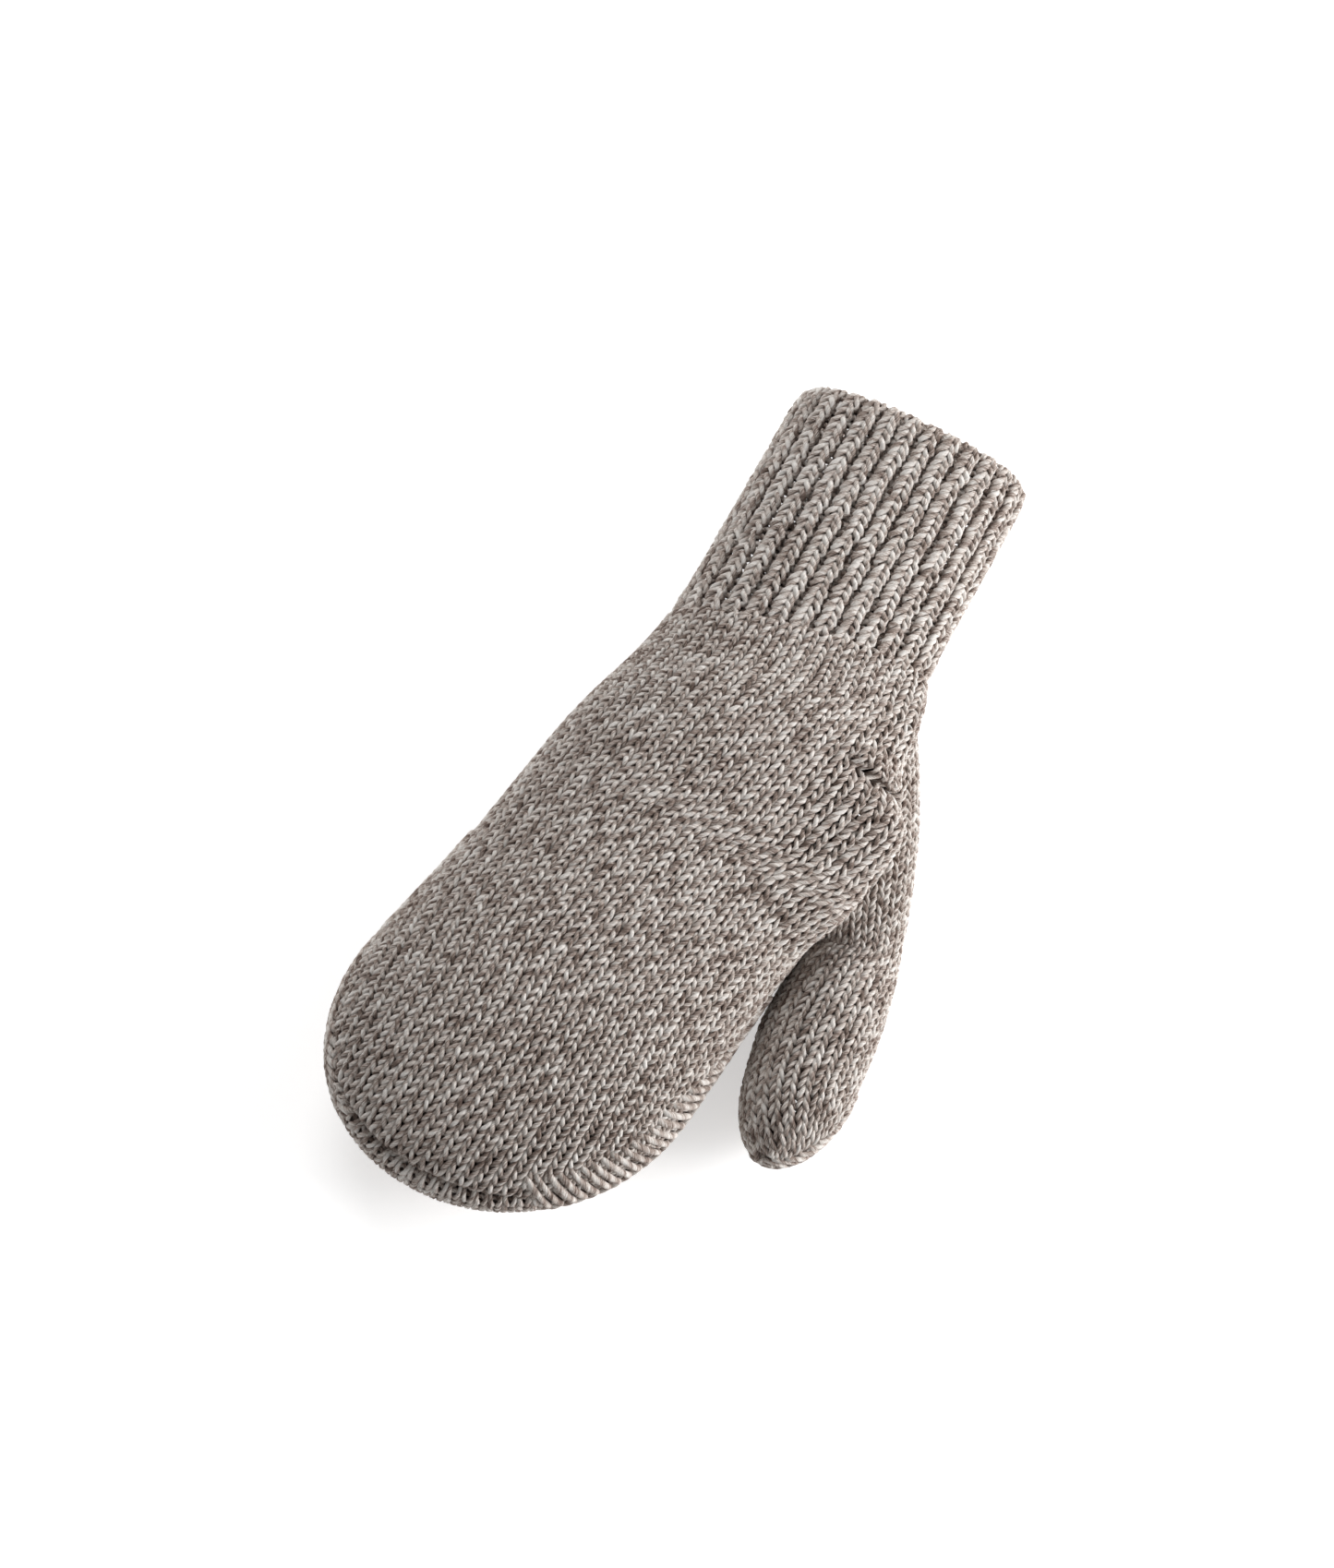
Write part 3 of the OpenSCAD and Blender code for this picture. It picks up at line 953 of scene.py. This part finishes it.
def on_plan(spot, half, depth):
    """The point of the back's or the palm's fabric over a place in plan."""
    shrink = LAYER / (LENGTH - KNUCKLE_AT)
    s = np.minimum((spot[..., 1] - shrink * KNUCKLE_AT) / (1 - shrink), LENGTH - 0.01)
    half_width = (base_half_width(s) - LAYER) * share_left(s, TIP_LENGTH)
    x = np.clip((spot[..., 0] - centre_x(s)) / half_width, -1, 1)
    angle = np.arccos(np.sign(x) * np.abs(x) ** (1 / CURVE_POWER))
    return skin(half * angle, s, depth)


def rim_table(half):
    """Distance in plan from the outline for each distance over the fabric."""
    inward = RIM_INWARD * np.linspace(0, 1, RIM_COLUMNS) ** 3
    spots = RIM_SPOTS[:, None] + RIM_INWARDS[:, None] * inward[None, :, None]
    points = on_plan(spots, half, LAYER)
    return np.array([np.interp(RIM_ACROSS, run_along(line), inward) for line in points])


RIM_TABLES = {half: rim_table(half) for half in (BACK, PALM)}


def rim_point(run, across, height):
    """run along the rim, across over the back when positive and under the palm when negative."""
    row = run / RIM_STEP
    col = np.abs(across) / RIM_ACROSS[1]
    i, into = cell_at(row, len(RIM_RUN))
    spot = mix(RIM_SPOTS[i], RIM_SPOTS[i + 1], into[:, None])
    inward = unit(mix(RIM_INWARDS[i], RIM_INWARDS[i + 1], into[:, None]))
    found = []
    for half in (BACK, PALM):
        distance = between(RIM_TABLES[half], row, col)
        found.append(on_plan(spot + inward * distance[:, None], half, LAYER - height))
    return np.where((across >= 0)[:, None], found[0], found[1])


def rim_run_where(half_width_left, side):
    """Distance along the rim at which the outline is that far from the middle line."""
    widths = base_half_width(TABLE_S[TAIL]) * share_left(TABLE_S[TAIL], TIP_LENGTH)
    s = np.interp(half_width_left, widths[::-1], EDGE_S)
    y = float(skin(np.array([math.pi]), np.array([s]), LAYER)[0, 1])
    rim_y = RIM_SPOTS[:, 1]
    top = int(np.argmax(rim_y))
    if side < 0:
        return float(np.interp(y, rim_y[:top], RIM_RUN[:top]))
    return float(np.interp(-y, -rim_y[top:], RIM_RUN[top:]))


# Side -1 is the thumb's, 1 the little finger's
BAND_END = {side: rim_run_where(SEAM_HALF, side) for side in (-1, 1)}
BAND_YARN_R = 0.95
BAND_STEP = 3.4
BAND_ACROSS = 1.8
BAND_REACH = {-1: 10.5, 1: 2.2}
BAND_REACH_GROWS = 42
BAND_BEYOND = 5.0
LEG_ALONG = 7.5


def band_strands(side):
    """The chain over the decreases; it runs from the knuckles to the tip seam on either side."""
    total = BAND_END[-1] if side < 0 else RIM_TOTAL - BAND_END[1] + BAND_BEYOND

    def edge_point(run, across, height):
        return rim_point(run if side < 0 else RIM_TOTAL - run, across, height)

    def across(at):
        return BAND_ACROSS + BAND_REACH[side] * ease(at / BAND_REACH_GROWS)
    return chain(edge_point, total, BAND_STEP, across, LEG_ALONG, BAND_YARN_R)


# ---- the tip seam, and the palm's last rows brought up to it ----

LIP_COURSE = 2.0
LIP_ROWS = 5
LIP_BEYOND = 3.5
LIP_WALE = 3.9
LIP_FROM = -4.8
LIP_RAISED = 0.6
LIP_TURNS_UNDER = 3.0
LIP_UNDER_BEFORE = 1.6
LIP_UNDER_LENGTH = 2.2
SEAM_ACROSS = LIP_FROM + LIP_ROWS * LIP_COURSE - 0.4
SEAM_START = BAND_END[-1] - LIP_BEYOND
SEAM_LENGTH = BAND_END[1] + LIP_BEYOND - SEAM_START
SEAM_STEP = 1.6
SEAM_SLANT = 1.2
SEAM_REACH = 2.6
SEAM_DEPTH = 1.5
SEAM_END_DEPTH = 0.3
SEAM_YARN_R = 1.0
SEAM_SAMPLES = 13


def lip_row(k):
    """A row of the palm's fabric brought up round the tip to the seam."""
    u, rise, height = loops(math.ceil(SEAM_LENGTH / LIP_WALE))

    def place(u, rise, height):
        across = LIP_FROM + (k + rise) * LIP_COURSE
        under = LIP_TURNS_UNDER * ease((across - SEAM_ACROSS + LIP_UNDER_BEFORE) / LIP_UNDER_LENGTH)
        raised = height + LIP_RAISED - under
        return rim_point(SEAM_START + u * LIP_WALE, np.minimum(across, SEAM_ACROSS), raised)
    return knit(place, u, rise, tucked(height), YARN_R)


def seam_strands():
    """Short stitches that close the tip, sunk so that they leave a crease."""
    strands = []
    v = np.linspace(-1, 1, SEAM_SAMPLES)
    across = SEAM_ACROSS + SEAM_REACH * v
    height = -SEAM_DEPTH - SEAM_END_DEPTH * v * v
    for i in range(math.ceil(SEAM_LENGTH / SEAM_STEP)):
        run = SEAM_START + SEAM_STEP * i + SEAM_SLANT * v * (1 if i % 2 else -1)
        points = rim_point(run, across, height)
        outward = unit(rim_point(run, across, height + NUDGE) - points)
        strands.append(Strand(points, outward, SEAM_YARN_R, shade=1.0))
    return strands


# ---- the thumb's own chain, on the outer side of its tip and over the end ----

THUMB_CHAIN_BEFORE = 4
THUMB_CHAIN_LENGTH = THUMB_RUN[-1] - TIP_RUN + 8
THUMB_CHAIN_STEP = 3.2
THUMB_CHAIN_ALONG = 6.0
THUMB_CHAIN_ACROSS = 2.2
THUMB_CHAIN_REACH = 2.6
THUMB_CHAIN_GROWS = 12
THUMB_CHAIN_R = 0.8
WIDEST_TURN = 1.4
END_RADIUS = 2.5
COIL_POINTS = 130
COIL_TURNS = 4
COIL_FROM = 6.5
COIL_TO = 0.5
COIL_DEPTH = 0.9
COIL_YARN_R = 0.85
COIL_SHADE = 0.6


def thumb_chain_point(run, across, height):
    """A place on the outer line of the thumb; past the end it comes back down the crotch side."""
    run = run + TIP_RUN - THUMB_CHAIN_BEFORE
    past = run > THUMB_RUN[-1]
    t = np.interp(np.where(past, 2 * THUMB_RUN[-1] - run, run), THUMB_RUN, THUMB_T)
    u = np.clip((t - THUMB_TIP_FROM) / (1 - THUMB_TIP_FROM), 0, 1)
    radius = np.maximum(THUMB_R * np.sqrt(1 - u * u), END_RADIUS)
    turn = np.clip(across / radius, -WIDEST_TURN, WIDEST_TURN)
    return thumb_point(np.where(past, math.pi - turn, turn), t, LAYER - height)


def thumb_end_coil():
    """The yarn drawn together inside the thumb's end."""
    theta = np.linspace(0, COIL_TURNS * TAU, COIL_POINTS)
    reach = np.linspace(COIL_FROM, COIL_TO, COIL_POINTS)
    t = np.interp(THUMB_RUN[-1] - reach, THUMB_RUN, THUMB_T)
    points = thumb_point(theta, t, LAYER + COIL_DEPTH)
    outward = unit(thumb_point(theta, t, LAYER) - points)
    return Strand(points, outward, COIL_YARN_R, shade=COIL_SHADE)


def thumb_band_strands():
    def across(at):
        return THUMB_CHAIN_ACROSS + THUMB_CHAIN_REACH * ease(at / THUMB_CHAIN_GROWS)
    strands = chain(thumb_chain_point, THUMB_CHAIN_LENGTH, THUMB_CHAIN_STEP, across,
                    THUMB_CHAIN_ALONG, THUMB_CHAIN_R)
    return strands + [thumb_end_coil()]


# ---- wool ----

# Each stop: how light the fibre is, from 0 to 1, and its colour
WOOL_STOPS = ((0.0, (0.092, 0.061, 0.047)), (0.3, (0.225, 0.169, 0.142)), (0.55, (0.43, 0.365, 0.325)),
              (0.8, (0.61, 0.56, 0.517)), (1.0, (0.72, 0.685, 0.65)))
WOOL_LEVEL = 0.49
STREAK_WEIGHT = 2.3
FINE_WEIGHT = 0.7
PLY_WEIGHT = 0.24
# weight of the yarn's random tone together with its painted shade
TONE_AND_SHADE_WEIGHT = 0.15
# painted shade: the yarn is painted lighter on its outward face and darker on its sides and underside
PAINTED_SIDE_SHADE = 0.16
FIBRE_STRETCH = (1.0, 1.0, 0.16)
STREAK_NOISE = {"Scale": 2.6, "Detail": 3.0, "Roughness": 0.62}
FINE_NOISE = {"Scale": 9.0, "Detail": 2.0, "Roughness": 0.6}
ROUGHNESS_RANGE = {"To Min": 0.78, "To Max": 0.98}
GROOVE_RELIEF = 0.5
FINE_RELIEF = 0.6
RELIEF = {"Strength": 0.75, "Distance": 0.00035}
WOOL_SHEEN = {"Specular IOR Level": 0.25, "Sheen Weight": 0.12, "Sheen Roughness": 0.55,
              "Sheen Tint": (0.9, 0.87, 0.84, 1)}


def set_inputs(node, values):
    for name, value in values.items():
        node.inputs[name].default_value = value


def new_node(tree, kind, inputs=None, **settings):
    node = tree.nodes.new(kind)
    for name, value in settings.items():
        setattr(node, name, value)
    set_inputs(node, inputs or {})
    return node


def math_node(tree, operation, *values):
    """A math node's output; each value is a number or another node's output."""
    node = new_node(tree, "ShaderNodeMath", operation=operation)
    for socket, value in zip(node.inputs, values):
        if isinstance(value, (int, float)):
            socket.default_value = value
        else:
            tree.links.new(value, socket)
    return node.outputs[0]


def sum_of(tree, first, *others):
    total = first
    for other in others:
        total = math_node(tree, "ADD", total, other)
    return total


def noise(tree, vector, settings):
    node = new_node(tree, "ShaderNodeTexNoise", settings)
    tree.links.new(vector, node.inputs["Vector"])
    return node.outputs["Fac"]


def about_zero(tree, value, weight):
    """A value between 0 and 1 moved to lie about zero, times a weight."""
    return math_node(tree, "MULTIPLY", math_node(tree, "SUBTRACT", value, 0.5), weight)


def wool_material(name):
    """Marled two-ply wool: light and dark fibres twisted along the yarn, with painted shade on the yarn's
    sides and where it lies low in the fabric.
    """
    material = bpy.data.materials.new(name)
    material.use_nodes = True
    tree = material.node_tree
    shader = tree.nodes["Principled BSDF"]
    yarn = new_node(tree, "ShaderNodeAttribute", attribute_name="yarn").outputs["Vector"]
    tone_and_shade = new_node(tree, "ShaderNodeAttribute", attribute_name="tone_and_shade").outputs["Fac"]
    parts = new_node(tree, "ShaderNodeSeparateXYZ")
    tree.links.new(yarn, parts.inputs[0])
    twist = new_node(tree, "ShaderNodeVectorRotate", rotation_type="Z_AXIS")
    tree.links.new(yarn, twist.inputs["Vector"])
    tree.links.new(math_node(tree, "MULTIPLY", parts.outputs["Z"], -TAU / YARN_TURN), twist.inputs["Angle"])
    twisted = new_node(tree, "ShaderNodeSeparateXYZ")
    tree.links.new(twist.outputs[0], twisted.inputs[0])
    fibre = new_node(tree, "ShaderNodeMapping", {"Scale": FIBRE_STRETCH})
    tree.links.new(twist.outputs[0], fibre.inputs["Vector"])
    streak = noise(tree, fibre.outputs[0], STREAK_NOISE)
    fine = noise(tree, fibre.outputs[0], FINE_NOISE)

    # the stored tone holds random tone less painted shade where the yarn lies low in the fabric
    level = sum_of(tree, about_zero(tree, streak, STREAK_WEIGHT),
                   math_node(tree, "MULTIPLY", twisted.outputs["X"], PLY_WEIGHT),
                   about_zero(tree, fine, FINE_WEIGHT),
                   math_node(tree, "MULTIPLY", tone_and_shade, TONE_AND_SHADE_WEIGHT),
                   math_node(tree, "MULTIPLY", parts.outputs["X"], PAINTED_SIDE_SHADE), WOOL_LEVEL)
    ramp = new_node(tree, "ShaderNodeValToRGB")
    tree.links.new(level, ramp.inputs[0])
    elements = ramp.color_ramp.elements
    while len(elements) < len(WOOL_STOPS):
        elements.new(0.5)
    for element, (place, colour) in zip(elements, WOOL_STOPS):
        element.position = place
        element.color = (*colour, 1)
    tree.links.new(ramp.outputs["Color"], shader.inputs["Base Color"])

    rough = new_node(tree, "ShaderNodeMapRange", ROUGHNESS_RANGE)
    tree.links.new(streak, rough.inputs["Value"])
    tree.links.new(rough.outputs[0], shader.inputs["Roughness"])
    groove = math_node(tree, "MULTIPLY", math_node(tree, "ABSOLUTE", twisted.outputs["X"]), GROOVE_RELIEF)
    bump = new_node(tree, "ShaderNodeBump", RELIEF)
    relief = sum_of(tree, groove, streak, math_node(tree, "MULTIPLY", fine, FINE_RELIEF))
    tree.links.new(relief, bump.inputs["Height"])
    tree.links.new(bump.outputs[0], shader.inputs["Normal"])
    set_inputs(shader, WOOL_SHEEN)
    return material


WOOL = {name: wool_material(name) for name in ("wool_body", "wool_rib", "wool_edge")}

# ---- pieces, each moving with its body, or left unattached where it spans a joint ----


def bend_at_wrist(piece):
    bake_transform(piece)


def bend_at_knuckles(piece):
    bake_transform(piece)


def bend_at_thumb(piece):
    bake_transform(piece)


def knit_piece(name, strands, wool, body=None, bend=None, nodes=()):
    """A piece that rides on a body, or stays unattached across a joint, in place of the CAD nodes named."""
    piece = make_piece(name, [strand for strand in strands if strand is not None], WOOL[wool])
    if nodes:
        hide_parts(*nodes)
    if bend:
        bend(piece)
    else:
        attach(piece, body)


def rows_of(knit_row, start, stop, *more):
    return [knit_row(row, *more) for row in range(start, stop)]


RIB_LOW, RIB_HIGH = 10, 22
knit_piece("cast_on_edge", rows_of(rib_row, -ROLL_ROWS, 0), "wool_edge", body="cuff", nodes=["cuff_edge"])
knit_piece("rib_lower", rows_of(rib_row, 0, RIB_LOW), "wool_rib", body="cuff", nodes=["ribbed_cuff"])
knit_piece("rib_middle", rows_of(rib_row, RIB_LOW, RIB_HIGH), "wool_rib", body="cuff")
knit_piece("rib_upper", rows_of(rib_row, RIB_HIGH, RIB_ROWS), "wool_rib", bend=bend_at_wrist)

HEEL_TO = math.ceil(row_of_s(97))
PALM_TO = math.ceil(row_of_s(125))
CROTCH_TO = math.floor(row_of_s(146))
FINGERS_FROM = math.ceil(row_of_s(BAND_FROM))
FINGERS_MID = (FINGERS_FROM + HAND_ROWS) // 2
FINGERS_TO = {BACK: HAND_ROWS - 2, PALM: HAND_ROWS}
knit_piece("hand_heel", rows_of(hand_row, 0, HEEL_TO), "wool_body", bend=bend_at_wrist, nodes=["hand_back"])
knit_piece("hand_lower", rows_of(hand_row, HEEL_TO, PALM_TO), "wool_body", body="hand", nodes=["hand_palm"])
knit_piece("hand_upper", rows_of(hand_row, PALM_TO, CROTCH_TO), "wool_body", body="hand")
knit_piece("hand_knuckles", rows_of(hand_row, CROTCH_TO, FINGERS_FROM), "wool_body", bend=bend_at_knuckles)
for half, node in ((BACK, "finger_back"), (PALM, "finger_palm")):
    knit_piece(node + "_lower", rows_of(finger_row, FINGERS_FROM, FINGERS_MID, half), "wool_body",
               bend=bend_at_knuckles, nodes=[node])
    knit_piece(node + "_upper", rows_of(finger_row, FINGERS_MID, FINGERS_TO[half], half), "wool_body",
               bend=bend_at_knuckles)
knit_piece("band_thumb_side", band_strands(-1), "wool_edge", bend=bend_at_knuckles,
           nodes=["decrease_band_thumb_side"])
knit_piece("band_little_finger_side", band_strands(1), "wool_edge", bend=bend_at_knuckles,
           nodes=["decrease_band_little_finger_side"])
knit_piece("tip_seam_stitches", seam_strands() + rows_of(lip_row, 0, LIP_ROWS), "wool_edge",
           body="fingers", nodes=["tip_seam"])

GUSSET_ROWS = 24
THUMB_TIP_ROW = math.ceil(TIP_RUN / THUMB_COURSE)
knit_piece("thumb_gusset_knit", rows_of(gusset_row, -GUSSET_ROWS, 0), "wool_body", bend=bend_at_thumb,
           nodes=["thumb_gusset"])
knit_piece("thumb_tube_knit", rows_of(thumb_row, 0, THUMB_TIP_ROW), "wool_body", bend=bend_at_thumb,
           nodes=["thumb_tube"])
knit_piece("thumb_tip_knit", rows_of(thumb_row, THUMB_TIP_ROW, THUMB_ROWS), "wool_body", body="thumb",
           nodes=["thumb_tip"])
knit_piece("thumb_band", thumb_band_strands(), "wool_edge", body="thumb")

# ---- floor and light ----

FLOOR_HALF = 3.0
FLOOR_BELOW = 0.0003
FLOOR_LOOK = {"Base Color": (0.86, 0.86, 0.86, 1), "Roughness": 0.9, "Emission Color": (1, 1, 1, 1),
              "Emission Strength": 0.46}
LIGHT_SIZE = 0.8
KEY_PLACE, KEY_POWER = (-1.4, -0.55, 0.52), 36
FILL_PLACE, FILL_POWER = (0.8, -0.9, 0.8), 14
WORLD_LIGHT = {"Color": (1, 1, 1, 1), "Strength": 0.33}


def make_floor():
    mesh = bpy.data.meshes.new("floor")
    corners = [(x * FLOOR_HALF, y * FLOOR_HALF, 0) for x, y in ((-1, -1), (1, -1), (1, 1), (-1, 1))]
    mesh.from_pydata(corners, [], [(0, 1, 2, 3)])
    floor = bpy.data.objects.new("floor", mesh)
    bpy.context.scene.collection.objects.link(floor)
    material = bpy.data.materials.new("floor")
    material.use_nodes = True
    set_inputs(material.node_tree.nodes["Principled BSDF"], FLOOR_LOOK)
    mesh.materials.append(material)
    floor.location.z = -FLOOR_BELOW


def area_light(name, place, power):
    light = bpy.data.lights.new(name, "AREA")
    light.energy = power
    light.size = LIGHT_SIZE
    lamp = bpy.data.objects.new(name, light)
    lamp.location = place
    lamp.rotation_mode = "QUATERNION"
    lamp.rotation_quaternion = Vector(place).to_track_quat("Z", "Y")
    bpy.context.scene.collection.objects.link(lamp)


def light_world():
    world = bpy.data.worlds.new("studio")
    world.use_nodes = True
    set_inputs(world.node_tree.nodes["Background"], WORLD_LIGHT)
    bpy.context.scene.world = world


make_floor()
area_light("key", KEY_PLACE, KEY_POWER)
area_light("fill", FILL_PLACE, FILL_POWER)
light_world()
bpy.context.scene.view_settings.view_transform = "Standard"
